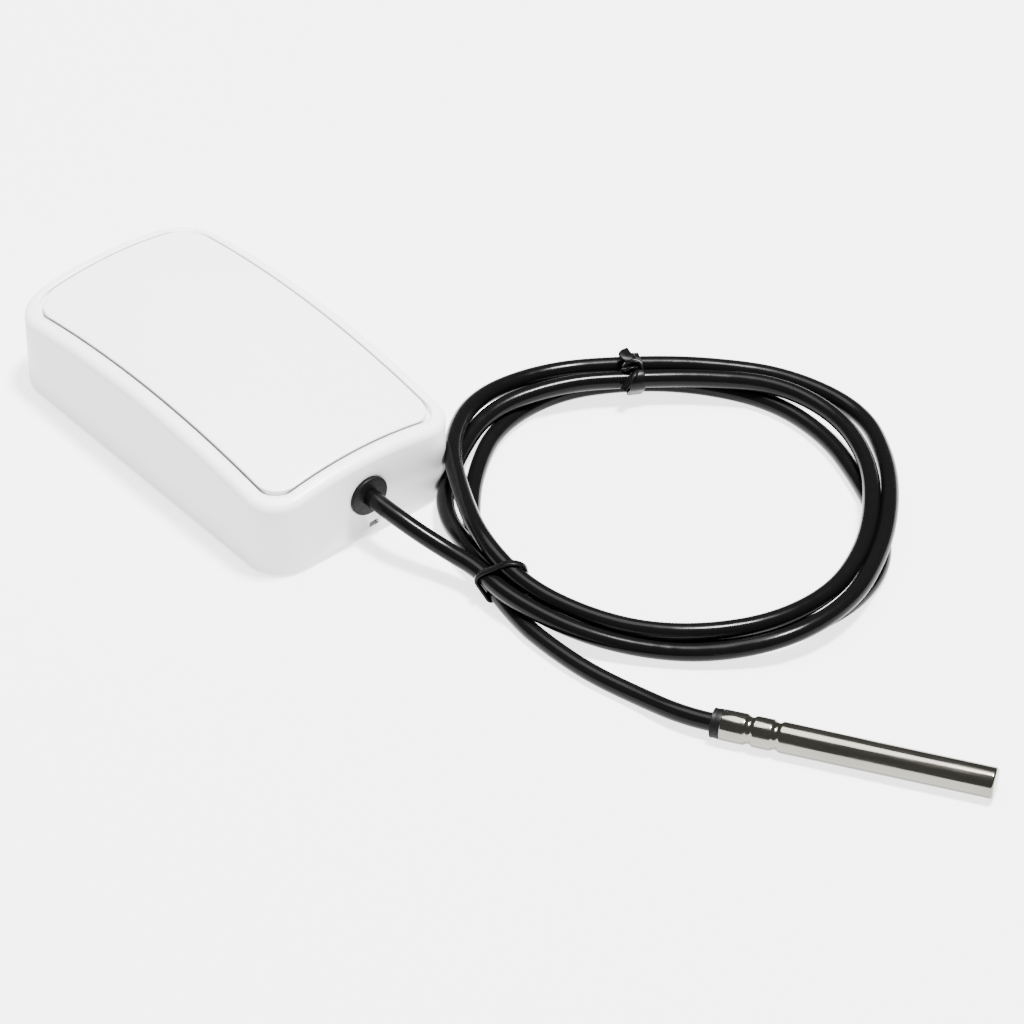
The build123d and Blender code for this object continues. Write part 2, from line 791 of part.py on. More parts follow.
def make_probe_sleeve(tube):
    """Black sleeve round the cable's end, gripped by the grooves, with a collar outside."""
    collar = probe_bar(-sleeve_outside, sleeve_radius, sleeve_outside)
    edges = collar.edges().sort_by(lambda e: (e.center() - probe_mouth).dot(probe_axis))
    collar = chamfer(edges[0], sleeve_edge)
    inside = probe_bar(0, probe_diameter / 2 - probe_wall, sleeve_inside) - tube
    core = probe_bar(-sleeve_outside - spare, cord_radius, sleeve_outside + sleeve_inside + 2 * spare)
    body = collar + inside.solids().sort_by(SortBy.VOLUME)[-1]
    return body - core


def make_sensor_wires():
    """Two wires from the cable's end to the bead."""
    length = probe_length - bead_from_tip - sleeve_inside
    wires = []
    for side in (-1, 1):
        bar_z = probe_place() * Pos(0, side * wire_spacing / 2, sleeve_inside)
        wires.append(bar_z * Cylinder(wire_radius, length, align=standing))
    return wires


def make_temperature_sensor(wires):
    """Glass bead near the tip."""
    bead = probe_place() * Pos(0, 0, probe_length - bead_from_tip) * Sphere(bead_radius)
    for wire in wires:
        bead -= wire
    return bead


def make_probe_filling(tube, wires, bead):
    """Potting that fills the tube past the sleeve."""
    length = probe_length - sleeve_inside - probe_wall
    body = probe_bar(sleeve_inside, probe_diameter / 2 - probe_wall, length) - tube
    for piece in (*wires, bead):
        body -= piece
    return body.solids().sort_by(SortBy.VOLUME)[-1]


keep("top_cover", make_top_cover())
keep("front_panel", make_front_panel())
keep("panel_adhesive", make_panel_adhesive())
keep("base_cover", make_base_cover())
keep("base_seal", make_base_seal())
keep("cover_screws", make_cover_screws())
keep("cable_grommet", make_grommet())
keep("circuit_board", make_circuit_board())
keep("board_screws", make_board_screws())
keep("microcontroller", chip(micro_place, micro_size, micro_pins, micro_pitch, 4))
keep("memory_chip", chip(memory_place, memory_size, memory_pins, memory_pitch, 2))
keep("clock_crystal", make_clock_crystal())
keep("radio_module", make_radio_module())
keep("antenna", box_at(*on_board(antenna_place, 1), board_top, *antenna_size))
keep("battery_holder", make_battery_holder())
keep("battery_cells", make_battery_cells())
keep("battery_contacts", make_battery_contacts())
keep("battery_springs", make_battery_springs())
keep("probe_header", make_probe_header())
keep("probe_plug", make_probe_plug())
keep("lead_wires", make_lead_wires())
keep("inner_lead", make_inner_lead())
keep("lead_clamp", make_lead_clamp())
keep("cable_lead", cord_tube("cable_lead", lead_points))
keep("cable_coil", make_cable_coil())
keep("cable_tail", cord_tube("cable_tail", tail_points))
keep("upper_tie", make_upper_tie())
keep("lower_tie", tie_band(lower_tie_angle, lower_tie_width))
keep("probe_tube", make_probe_tube())
keep("probe_sleeve", make_probe_sleeve(parts["probe_tube"]))
keep("probe_cable_end", probe_bar(-sleeve_outside, cord_radius, sleeve_outside + sleeve_inside))
keep("sensor_wires", make_sensor_wires())
keep("temperature_sensor", make_temperature_sensor(parts["sensor_wires"]))
inside_probe = (parts["probe_tube"], parts["sensor_wires"], parts["temperature_sensor"])
keep("probe_filling", make_probe_filling(*inside_probe))

for node, shape in parts.items():
    group = Compound(children=shape) if isinstance(shape, list) else shape
    export_step(group, f"parts/{node}.step")
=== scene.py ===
"""Dresses the temperature data logger: finishes, cable, ties, probe, ground, light and camera."""
import json
import math

import bmesh
import bpy
from mathutils import Matrix, Vector


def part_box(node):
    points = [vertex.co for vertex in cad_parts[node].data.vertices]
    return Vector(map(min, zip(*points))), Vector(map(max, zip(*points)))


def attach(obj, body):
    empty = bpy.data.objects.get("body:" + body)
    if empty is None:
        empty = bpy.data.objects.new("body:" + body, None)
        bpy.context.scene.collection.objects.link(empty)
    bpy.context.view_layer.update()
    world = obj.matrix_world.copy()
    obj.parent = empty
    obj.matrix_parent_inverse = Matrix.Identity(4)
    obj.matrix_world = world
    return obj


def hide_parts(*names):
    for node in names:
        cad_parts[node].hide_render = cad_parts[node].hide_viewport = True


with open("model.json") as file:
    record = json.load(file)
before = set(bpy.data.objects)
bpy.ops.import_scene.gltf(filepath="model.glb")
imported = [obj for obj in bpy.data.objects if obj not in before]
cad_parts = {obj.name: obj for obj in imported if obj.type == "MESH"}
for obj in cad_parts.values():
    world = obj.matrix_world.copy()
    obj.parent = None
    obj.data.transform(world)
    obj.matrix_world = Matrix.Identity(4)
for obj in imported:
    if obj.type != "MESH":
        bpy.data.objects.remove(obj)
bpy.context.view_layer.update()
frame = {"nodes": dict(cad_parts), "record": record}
body = "root"
mm = 0.001

# Camera
view_azimuth = math.radians(-40.0)
view_elevation = math.radians(40.3)
view_distance = 1.0005
origin_in_view = Vector((-55.35, 16.40)) * mm   # right of and above the picture's centre
view_lens = 176.9
view_sensor = 36.0
view_nearest = 0.05
view_farthest = 20.0

# Light and ground
light_target = (0.03, -0.06, 0.0)
world_strength = 0.24
key_light = dict(place=(0.36, -0.24, 2.1), size=(0.34, 0.34), power=290.0)
top_light = dict(place=(0.05, 0.62, 2.1), size=(1.3, 1.3), power=58.0)
ground_half_side = 3.0
ground_grey = (0.42, 0.42, 0.42)
ground_roughness = 0.95
ground_glow = 2.8

# Finishes
patch_scale = 60
patch_detail = 4.0
grain_detail = 3.0
noise_range = (0.3, 0.7)        # where nearly all of a noise's values lie
# Painted shade: narrow gaps and creases are darkened in the colour, where shade would fall
gap_width = 1.0 * mm
gap_shade_range = (0.32, 0.8)         # the openness of a narrow gap and of a free surface, between which the painted shade fades out
gap_shade_grey = (0.06, 0.06, 0.06)

# Copies of solids: edges steeper than the angle in degrees stay crisp
merge_distance = 2e-6
shortest_edge = 1e-6
moulded_crisp = 25
rubber_crisp = 30
panel_draw_in = 0.2 * mm

# Cable: routes in mm
cord_diameter = 3.6 * mm
cord_steps = 10
cord_rim_steps = 6
cord_order = 3
coil_centre = Vector((47.0, -79.0, 0)) * mm
# Each turn's distance from the coil's centre and height, at even angles from -X on
turn_radii = (
    (41.0, 39.6, 38.6, 39.7, 42.3, 42.3, 41.1, 41.6, 44.4,
     48.6, 47.2, 44.3, 44.7, 48.7, 49.9, 45.7, 40.9, 39.2),
    (37.6, 35.9, 36.2, 36.6, 37.5, 38.0, 37.6, 38.1, 40.3,
     42.6, 42.9, 40.3, 40.1, 43.0, 46.5, 45.3, 44.2, 40.5),
    (37.0, 35.4, 35.3, 35.9, 37.8, 40.5, 41.5, 39.6, 38.4,
     39.8, 41.6, 42.2, 43.4, 45.1, 44.2, 40.9, 39.2, 39.8),
)
turn_heights = (
    (5.3, 4.3, 2.9, 3.0, 4.9, 5.4, 5.4, 5.3, 4.4, 3.5, 4.5, 5.4, 5.4, 5.0, 6.2, 8.2, 8.6, 8.8),
    (6.9, 5.5, 5.4, 5.4, 5.4, 5.4, 5.4, 5.4, 5.4, 5.4, 5.4, 5.4, 5.4, 5.6, 4.6, 3.2, 4.2, 5.3),
    (3.6, 1.8, 1.8, 1.8, 1.8, 1.8, 1.8, 1.8, 1.8, 1.8, 1.8, 1.8, 1.8, 1.8, 1.8, 1.8, 1.8, 1.8),
)
turn_pull = 1 / 8               # makes up for the curve's cutting of corners
lead_route = (
    (0.0, -43.0, 10.8),
    (0.0, -46.6, 10.8),
    (0.6, -50.9, 10.1),
    (2.2, -56.2, 8.4),
    (4.5, -62.2, 6.4),
    (6.2, -68.4, 5.5),
)
tail_route = (
    (5.2, -82.0, 1.8),
    (5.1, -92.0, 1.8),
    (6.0, -102.0, 1.8),
    (8.5, -111.8, 1.8),
    (10.71, -123.02, 3.0),
    (13.59, -127.59, 3.0),
)

# Ties
tie_thickness = 0.6 * mm
tie_clearance = 0.02 * mm       # to the cables and to the floor
tie_reach = 9.5 * mm            # from the tie's place to the cables that it holds
least_slant = 0.4               # cosine of the most askew that a cable passes through a tie
strand_corners = 32
loop_digits = 7
strap_step = 0.3 * mm
strap_edge_round = 0.4          # of the thickness
strap_edge_steps = 3
upper_tie_angle = math.radians(59.4)
upper_tie_radius = 42.0 * mm
upper_tie_shift = -0.1 * mm
upper_tie_width = 3.0 * mm
lower_tie_place = Vector((8.3, -74.4, 4.8)) * mm
lower_tie_turn = math.radians(-39.0)
lower_tie_width = 1.4 * mm

# The knot's straps, in mm: points along the cables, outwards and up, the width there and how its side leans
knot_straps = (
    (
        ((-0.9, 4.0, 8.7), 0.4, (1.0, 0.1, -0.2)),
        ((-1.3, 3.1, 8.7), 2.2, (1.0, 0.1, -0.2)),
        ((-1.4, 2.1, 8.6), 3.3, (1.0, 0.2, -0.1)),
        ((-0.7, 1.1, 8.4), 2.6, (0.8, 0.6, 0.2)),
        ((0.3, 0.6, 8.2), 1.8, (0.3, 1.0, 0.0)),
        ((1.3, 0.4, 7.7), 1.5, (0.1, 1.0, 0.2)),
    ),
    (
        ((-2.6, -0.5, 7.6), 0.6, (0.0, 1.0, 0.2)),
        ((-1.6, -0.3, 8.5), 1.5, (0.0, 1.0, -0.2)),
        ((-0.2, -0.6, 9.1), 2.0, (0.1, 1.0, -0.5)),
        ((0.9, -1.0, 8.6), 1.9, (0.3, 1.0, -0.6)),
        ((1.3, -1.5, 7.5), 1.4, (0.3, 1.0, -0.6)),
    ),
    (
        ((0.2, -1.5, 8.2), 1.0, (0.2, 1.0, -0.5)),
        ((-1.0, -1.8, 8.4), 1.7, (0.0, 1.0, -0.7)),
        ((-2.1, -1.6, 8.0), 1.6, (-0.2, 1.0, -0.5)),
        ((-2.9, -1.2, 7.5), 0.5, (-0.3, 1.0, -0.3)),
    ),
    (
        ((0.0, -2.2, 7.9), 1.0, (1.0, 0.4, 0.0)),
        ((-1.0, -3.2, 7.6), 1.7, (1.0, -0.6, 0.6)),
        ((-2.2, -4.2, 6.6), 1.9, (1.0, -0.8, 0.5)),
        ((-3.3, -4.9, 5.4), 1.5, (1.0, -0.9, 0.3)),
    ),
)
knot_thickness = 0.5
knot_steps = 6                  # between two points of a strap
least_knot_width = 0.2
# A strap's section: shares of its half width and of its thickness
knot_section = (
    (-1, 0), (-0.8, 0.42), (-0.4, 0.56), (0, 0.6), (0.4, 0.56),
    (0.8, 0.42), (1, 0), (0.8, -0.42), (0, -0.5), (-0.8, -0.42),
)

# Probe: its mouth in metres, its sizes in mm
probe_mouth = Vector((14.6, -129.2, 3.0)) * mm
probe_axis = Vector((0.532876, -0.846193, 0))
probe_radius = 3.0
probe_length = 51.97
probe_wall = 0.4
mouth_rounding = ((0.0, 0.14), (0.05, 0.05), (0.15, 0.0))       # distance from the mouth and depth
groove_places = (5.4, 10.5)
groove_half = 1.05
groove_depth = 0.42
groove_outer_parts = tuple(k / 12 for k in range(-12, 13))
groove_inner_parts = (-1.0, -0.5, 0.0, 0.5, 1.0)
tip_round = 0.55
tip_steps = 8
turned_faces = 128
tube_crisp = 40
collar_crisp = 50
# The collar's half section: distance from the tube's mouth and radius
collar_line = (
    (0.0, 1.9), (0.0, 2.86), (-0.2, 2.9), (-0.9, 2.84), (-1.35, 2.8),
    (-1.6, 2.88), (-1.8, 2.86), (-1.9, 2.7), (-1.86, 2.3), (-1.6, 1.9),
)


# Ground, light and camera
def make_camera():
    """Long lens from the cable end's left, looking down on the part."""
    right = Vector((math.cos(view_azimuth), math.sin(view_azimuth), 0))
    level = math.cos(view_elevation)
    ahead = Vector((-right.y * level, right.x * level, -math.sin(view_elevation)))
    up = right.cross(ahead)
    data = bpy.data.cameras.new("camera")
    data.lens = view_lens
    data.sensor_width = view_sensor
    data.clip_start = view_nearest
    data.clip_end = view_farthest
    camera = bpy.data.objects.new("camera", data)
    camera.location = -(right * origin_in_view.x + up * origin_in_view.y + ahead * view_distance)
    camera.rotation_mode = "QUATERNION"
    camera.rotation_quaternion = Matrix((right, up, -ahead)).transposed().to_quaternion()
    bpy.context.collection.objects.link(camera)
    bpy.context.scene.camera = camera


def make_ground():
    """Large pale floor."""
    mesh = bpy.data.meshes.new("ground")
    signs = ((-1, -1), (1, -1), (1, 1), (-1, 1))
    corners = [(x * ground_half_side, y * ground_half_side, 0) for x, y in signs]
    mesh.from_pydata(corners, [], [(0, 1, 2, 3)])
    ground = bpy.data.objects.new("ground", mesh)
    bpy.context.collection.objects.link(ground)
    mesh.materials.append(ground_finish())


def make_light(name, place, size, power):
    """Soft rectangular lamp that faces the part."""
    data = bpy.data.lights.new(name, "AREA")
    data.shape = "RECTANGLE"
    data.size, data.size_y = size
    data.energy = power
    lamp = bpy.data.objects.new(name, data)
    lamp.location = place
    lamp.rotation_mode = "QUATERNION"
    lamp.rotation_quaternion = (Vector(light_target) - Vector(place)).to_track_quat("-Z", "Y")
    bpy.context.collection.objects.link(lamp)


def make_world():
    """Even pale light from all round."""
    world = bpy.data.worlds.new("studio")
    world.use_nodes = True
    background = world.node_tree.nodes["Background"]
    background.inputs["Color"].default_value = (1, 1, 1, 1)
    background.inputs["Strength"].default_value = world_strength
    bpy.context.scene.world = world


# Finishes
def ground_finish():
    """A matt grey that also glows, so that shadows on it stay faint."""
    material = bpy.data.materials.new("pale ground")
    material.use_nodes = True
    shader = material.node_tree.nodes["Principled BSDF"]
    shader.inputs["Base Color"].default_value = (*ground_grey, 1)
    shader.inputs["Roughness"].default_value = ground_roughness
    shader.inputs["Emission Color"].default_value = (1, 1, 1, 1)
    shader.inputs["Emission Strength"].default_value = ground_glow
    return material


def noise(tree, place, scale, detail, stretch=(1, 1, 1), turn=0.0):
    """A noise on the piece's own coordinates, drawn out along the axes of a frame turned about Z."""
    mapping = tree.nodes.new("ShaderNodeMapping")
    mapping.vector_type = "TEXTURE"
    mapping.inputs["Rotation"].default_value = (0, 0, turn)
    mapping.inputs["Scale"].default_value = stretch
    texture = tree.nodes.new("ShaderNodeTexNoise")
    texture.inputs["Scale"].default_value = scale
    texture.inputs["Detail"].default_value = detail
    tree.links.new(place, mapping.inputs["Vector"])
    tree.links.new(mapping.outputs["Vector"], texture.inputs["Vector"])
    return texture.outputs["Fac"]


def spread(tree, value, low, high, start, end):
    """The range start to end of a value moved to the range low to high."""
    move = tree.nodes.new("ShaderNodeMapRange")
    move.inputs["From Min"].default_value = start
    move.inputs["From Max"].default_value = end
    move.inputs["To Min"].default_value = low
    move.inputs["To Max"].default_value = high
    tree.links.new(value, move.inputs["Value"])
    return move.outputs["Result"]


def blend_colour(tree, share, first, second):
    """A mix of two colours, each a value or an output."""
    mix = tree.nodes.new("ShaderNodeMix")
    mix.data_type = "RGBA"
    for name, colour in (("A", first), ("B", second)):
        if isinstance(colour, tuple):
            mix.inputs[name].default_value = (*colour, 1)
        else:
            tree.links.new(colour, mix.inputs[name])
    tree.links.new(share, mix.inputs["Factor"])
    return mix.outputs["Result"]


def finish(
    name, colour, shade, roughness, grain, relief,
    metal=0.0, gloss=None, stretch=(1, 1, 1), turn=0.0, patch=patch_scale, gap_shade_colour=None,
):
    """A surface whose colour, gloss and fine relief all vary a little.

    shade is how much darker the darkest patches are, roughness its lowest and highest value,
    grain the fine relief's scale per metre, relief its height, patch the scale of the larger patches,
    stretch and turn the fine relief's direction, and gap_shade_colour the colour of the shade painted into
    narrow gaps and creases.
    """
    material = bpy.data.materials.new(name)
    material.use_nodes = True
    tree = material.node_tree
    shader = tree.nodes["Principled BSDF"]
    place = tree.nodes.new("ShaderNodeTexCoord").outputs["Object"]
    patches = spread(tree, noise(tree, place, patch, patch_detail), 0, 1, *noise_range)
    shown = blend_colour(tree, patches, colour, tuple(c * (1 - shade) for c in colour))
    # Painted shade: the colour darkens towards a dark grey in narrow gaps and creases, where ambient
    # occlusion finds nearby surfaces
    if gap_shade_colour:
        occlusion = tree.nodes.new("ShaderNodeAmbientOcclusion")
        occlusion.inputs["Distance"].default_value = gap_width
        unshaded_share = spread(tree, occlusion.outputs["AO"], 0, 1, *gap_shade_range)
        shown = blend_colour(tree, unshaded_share, gap_shade_colour, shown)
    tree.links.new(shown, shader.inputs["Base Color"])
    fine = noise(tree, place, grain, grain_detail, stretch, turn)
    tree.links.new(spread(tree, fine, *roughness, *noise_range), shader.inputs["Roughness"])
    bump = tree.nodes.new("ShaderNodeBump")
    bump.inputs["Strength"].default_value = 1.0
    bump.inputs["Distance"].default_value = relief
    tree.links.new(fine, bump.inputs["Height"])
    tree.links.new(bump.outputs["Normal"], shader.inputs["Normal"])
    shader.inputs["Metallic"].default_value = metal
    if gloss is not None:
        shader.inputs["Specular IOR Level"].default_value = gloss
    return material


def make_finishes():
    """One finish for each material slot of the record."""
    heading = math.atan2(probe_axis.y, probe_axis.x)
    return {
        # Both white plastics get painted shade in their narrow gaps and creases
        "white_plastic": finish(
            "moulded white", (0.72, 0.72, 0.727), 0.02, (0.34, 0.42), 2600, 4e-6, gap_shade_colour=gap_shade_grey,
        ),
        "panel_plastic": finish(
            "smooth white", (0.74, 0.74, 0.75), 0.015, (0.26, 0.32), 1800, 1.5e-6, gap_shade_colour=gap_shade_grey,
        ),
        "adhesive": finish("adhesive film", (0.3, 0.3, 0.28), 0.1, (0.4, 0.6), 900, 4e-6),
        "black_rubber": finish(
            "black rubber", (0.003, 0.003, 0.003), 0.2, (0.4, 0.55), 1400, 8e-6, gloss=0.09,
        ),
        "screw_steel": finish(
            "zinc plate", (0.56, 0.57, 0.58), 0.15, (0.25, 0.4), 1500, 3e-6, metal=1.0,
        ),
        "board": finish("green solder mask", (0.02, 0.16, 0.06), 0.3, (0.22, 0.4), 700, 4e-6),
        "chip_plastic": finish("moulded black", (0.02, 0.02, 0.021), 0.2, (0.5, 0.65), 2400, 5e-6),
        "plated_metal": finish(
            "nickel plate", (0.68, 0.66, 0.62), 0.12, (0.2, 0.34), 900, 2e-6, metal=1.0,
        ),
        "ceramic": finish("fired ceramic", (0.78, 0.78, 0.74), 0.08, (0.45, 0.6), 1600, 4e-6),
        "cell_can": finish(
            "drawn can", (0.56, 0.57, 0.59), 0.1, (0.2, 0.35), 900, 2e-6, metal=1.0, stretch=(1, 8, 1),
        ),
        "connector_plastic": finish("natural nylon", (0.76, 0.73, 0.64), 0.08, (0.35, 0.5), 1500, 3e-6),
        "wire_insulation": finish("red insulation", (0.42, 0.03, 0.02), 0.15, (0.3, 0.4), 1200, 3e-6),
        "cable_jacket": finish(
            "black jacket", (0.0023, 0.0023, 0.0024), 0.3, (0.16, 0.23), 420, 9e-6, gloss=0.08, patch=25,
        ),
        "tie_plastic": finish(
            "black tie", (0.002, 0.002, 0.002), 0.3, (0.24, 0.36), 900, 1.2e-5, gloss=0.09,
        ),
        "probe_steel": finish(
            "ground steel", (0.2, 0.192, 0.165), 0.16, (0.1, 0.2), 1500, 1.4e-6, metal=1.0,
            stretch=(14, 1, 1), turn=heading,
        ),
        "bead_glass": finish("glassy bead", (0.3, 0.08, 0.03), 0.1, (0.08, 0.16), 700, 2e-6),
        "potting": finish("filled resin", (0.04, 0.04, 0.04), 0.2, (0.3, 0.5), 900, 5e-6),
    }


# Pieces
def dress(piece, slot, *replaced):
    """Gives a new piece its finish, hangs it on the body and hides the parts that it stands for."""
    piece.data.materials.clear()
    piece.data.materials.append(finishes[slot])
    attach(piece, body)
    if replaced:
        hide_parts(*replaced)
    return piece


def new_piece(name, data):
    """A piece at the origin."""
    piece = bpy.data.objects.new(name, data)
    bpy.context.collection.objects.link(piece)
    return piece


def smooth_copy(name, node, crisp, draw_in=0.0):
    """A merged, smooth-shaded copy of a rigid solid.

    draw_in moves the sides inwards, which widens the gap round an inlay.
    """
    mesh = frame["nodes"][node].data.copy()
    mesh.name = name
    cage = bmesh.new()
    cage.from_mesh(mesh)
    bmesh.ops.remove_doubles(cage, verts=cage.verts, dist=merge_distance)
    bmesh.ops.dissolve_degenerate(cage, edges=cage.edges, dist=shortest_edge)
    if draw_in:
        low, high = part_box(node)
        shares = [1 - 2 * draw_in / (high[axis] - low[axis]) for axis in (0, 1)]
        bmesh.ops.scale(cage, vec=(*shares, 1), verts=cage.verts)
    for face in cage.faces:
        face.smooth = True
    cage.to_mesh(mesh)
    cage.free()
    mesh.set_sharp_from_angle(angle=math.radians(crisp))
    return new_piece(name, mesh)


def turned_piece(name, half_section, crisp):
    """A closed body of the half section turned about the probe's axis.

    half_section holds distances from the probe's mouth and radii, in mm.
    """
    side = Vector((0, 0, 1))
    across = probe_axis.cross(side)
    cage = bmesh.new()
    rings = []
    for distance, radius in half_section:
        middle = probe_mouth + probe_axis * distance * mm
        if radius == 0:
            rings.append([cage.verts.new(middle)])
            continue
        ring = []
        for k in range(turned_faces):
            angle = 2 * math.pi * k / turned_faces
            outwards = side * math.cos(angle) + across * math.sin(angle)
            ring.append(cage.verts.new(middle + outwards * radius * mm))
        rings.append(ring)
    pairs = list(zip(rings, rings[1:]))
    ends_on_axis = len(rings[0]) == 1 and len(rings[-1]) == 1
    if not ends_on_axis:
        pairs.append((rings[-1], rings[0]))
    for first, second in pairs:
        for k in range(turned_faces):
            after = (k + 1) % turned_faces
            corners = []
            for ring, at in ((first, k), (first, after), (second, after), (second, k)):
                vert = ring[at % len(ring)]
                if vert not in corners:
                    corners.append(vert)
            if len(corners) > 2:
                cage.faces.new(corners)
    for face in cage.faces:
        face.smooth = True
    bmesh.ops.recalc_face_normals(cage, faces=cage.faces)
    mesh = bpy.data.meshes.new(name)
    cage.to_mesh(mesh)
    cage.free()
    mesh.set_sharp_from_angle(angle=math.radians(crisp))
    return new_piece(name, mesh)


def groove_dip(part):
    """How deep a rolled groove is at a part of its half width."""
    return groove_depth * (1 - part * part) ** 2


def make_tube(name):
    """The probe's tube, closed at its tip, with the wall's thickness."""
    outside = [(distance, probe_radius - depth) for distance, depth in mouth_rounding]
    for place in groove_places:
        for part in groove_outer_parts:
            outside.append((place + part * groove_half, probe_radius - groove_dip(part)))
    for k in range(tip_steps + 1):
        angle = math.pi / 2 * k / tip_steps
        distance = probe_length - tip_round * (1 - math.sin(angle))
        outside.append((distance, probe_radius - tip_round * (1 - math.cos(angle))))
    inner_radius = probe_radius - probe_wall
    inside = [(0.0, inner_radius)]
    for place in groove_places:
        for part in groove_inner_parts:
            inside.append((place + part * groove_half, inner_radius - groove_dip(part)))
    inside.append((probe_length - probe_wall, inner_radius - tip_round / 2))
    half_section = [(probe_length - probe_wall, 0)] + inside[::-1] + outside + [(probe_length, 0)]
    return turned_piece(name, half_section, tube_crisp)


# Cable
def cord_points():
    """The cable's points from the case to the probe: the lead, the turns and the tail."""
    turns = []
    for radii, heights in zip(turn_radii, turn_heights):
        step = 2 * math.pi / len(radii)
        for k, (radius, height) in enumerate(zip(radii, heights)):
            angle = math.pi + k * step
            spot = Vector((math.cos(angle) * radius, math.sin(angle) * radius, height))
            turns.append(coil_centre + spot * mm)
    lead = [Vector(place) * mm for place in lead_route]
    tail = [Vector(place) * mm for place in tail_route]
    ring = [lead[-1], *turns, tail[0]]
    for k in range(len(turns)):
        before, spot, after = ring[k:k + 3]
        turns[k] = spot + (2 * spot - before - after) * turn_pull
        turns[k].z = max(turns[k].z, cord_diameter / 2)
    return lead + turns + tail


def cord_curve(name, thickness):
    """The cable's one smooth curve, as thick as it is told."""
    points = cord_points()
    data = bpy.data.curves.new(name, "CURVE")
    data.dimensions = "3D"
    data.resolution_u = cord_steps
    data.bevel_depth = thickness / 2
    data.bevel_resolution = cord_rim_steps
    data.use_fill_caps = thickness > 0
    spline = data.splines.new("NURBS")
    spline.points.add(len(points) - 1)
    for point, place in zip(spline.points, points):
        point.co = (*place, 1)
    spline.order_u = cord_order
    spline.use_endpoint_u = True
    return new_piece(name, data)


def middle_line():
    """Points along the cable's middle, as the curve gives them."""
    piece = cord_curve("cable_middle", 0.0)
    graph = bpy.context.evaluated_depsgraph_get()
    mesh = bpy.data.meshes.new_from_object(piece.evaluated_get(graph))
    points = [vert.co.copy() for vert in mesh.vertices]
    data = piece.data
    bpy.data.objects.remove(piece)
    bpy.data.curves.remove(data)
    bpy.data.meshes.remove(mesh)
    return points


# Ties
def strands_at(points, place, along):
    """Where the cable crosses the upright plane through a place, near it, and how squarely."""
    crossings = []
    for first, second in zip(points, points[1:]):
        before = (first - place).dot(along)
        after = (second - place).dot(along)
        if before * after < 0:
            spot = first.lerp(second, before / (before - after))
            slant = abs((second - first).normalized().dot(along))
            if (spot - place).length < tie_reach and slant > least_slant:
                crossings.append((spot, slant))
    return crossings


def hull(points):
    """The corners of the tightest loop round flat points, in order."""
    points = sorted(set(points))
    halves = []
    for row in (points, points[::-1]):
        half = []
        for p in row:
            while len(half) > 1:
                (ax, ay), (bx, by) = half[-2:]
                if (bx - ax) * (p[1] - ay) - (by - ay) * (p[0] - ax) > 0:
                    break
                half.pop()
            half.append(p)
        halves += half[:-1]
    return halves


def band_loop(points, place, along):
    """The middle of a band drawn tight round all the cables at a place."""
    across = Vector((along.y, -along.x, 0))
    radius = cord_diameter / 2 + tie_clearance + tie_thickness / 2
    lowest = tie_clearance + tie_thickness / 2
    flat = []
    for spot, slant in strands_at(points, place, along):
        for k in range(strand_corners):
            angle = 2 * math.pi * k / strand_corners
            sideways = (spot - place).dot(across) + math.cos(angle) * radius / slant
            height = max(spot.z + math.sin(angle) * radius, lowest)
            flat.append((round(sideways, loop_digits), round(height, loop_digits)))
    foot = Vector((place.x, place.y, 0))
    loop = [foot + across * u + Vector((0, 0, v)) for u, v in hull(flat)]
    top = max(range(len(loop)), key=lambda k: loop[k].z)    # level there, so the strap starts untwisted
    return loop[top:] + loop[:top]


def band_nodes():
    """Node tree that runs a flat strap with rounded edges along a loop of edges."""
    tree = bpy.data.node_groups.new("strap along a loop", "GeometryNodeTree")
    tree.interface.new_socket("Loop", in_out="INPUT", socket_type="NodeSocketGeometry")
    for name in ("Width", "Thickness", "Edge round", "Step"):
        tree.interface.new_socket(name, in_out="INPUT", socket_type="NodeSocketFloat")
    tree.interface.new_socket("Finish", in_out="INPUT", socket_type="NodeSocketMaterial")
    tree.interface.new_socket("Strap", in_out="OUTPUT", socket_type="NodeSocketGeometry")
    new = tree.nodes.new
    link = tree.links.new
    given = new("NodeGroupInput")
    loop = new("GeometryNodeMeshToCurve")
    even = new("GeometryNodeResampleCurve")
    even.mode = "LENGTH"
    section = new("GeometryNodeCurvePrimitiveQuadrilateral")
    rounded = new("GeometryNodeFilletCurve")
    rounded.mode = "POLY"
    rounded.inputs["Count"].default_value = strap_edge_steps
    strap = new("GeometryNodeCurveToMesh")
    smooth = new("GeometryNodeSetShadeSmooth")
    plain = new("GeometryNodeRealizeInstances")
    coat = new("GeometryNodeSetMaterial")
    result = new("NodeGroupOutput")
    link(given.outputs["Loop"], loop.inputs["Mesh"])
    link(loop.outputs["Curve"], even.inputs["Curve"])
    link(given.outputs["Step"], even.inputs["Length"])
    link(given.outputs["Width"], section.inputs["Width"])
    link(given.outputs["Thickness"], section.inputs["Height"])
    link(section.outputs["Curve"], rounded.inputs["Curve"])
    link(given.outputs["Edge round"], rounded.inputs["Radius"])
    link(even.outputs["Curve"], strap.inputs["Curve"])
    link(rounded.outputs["Curve"], strap.inputs["Profile Curve"])
    link(strap.outputs["Mesh"], smooth.inputs["Geometry"])
    link(smooth.outputs["Geometry"], plain.inputs["Geometry"])
    link(plain.outputs["Geometry"], coat.inputs["Geometry"])
    link(given.outputs["Finish"], coat.inputs["Material"])
    link(coat.outputs["Geometry"], result.inputs["Strap"])
    return tree


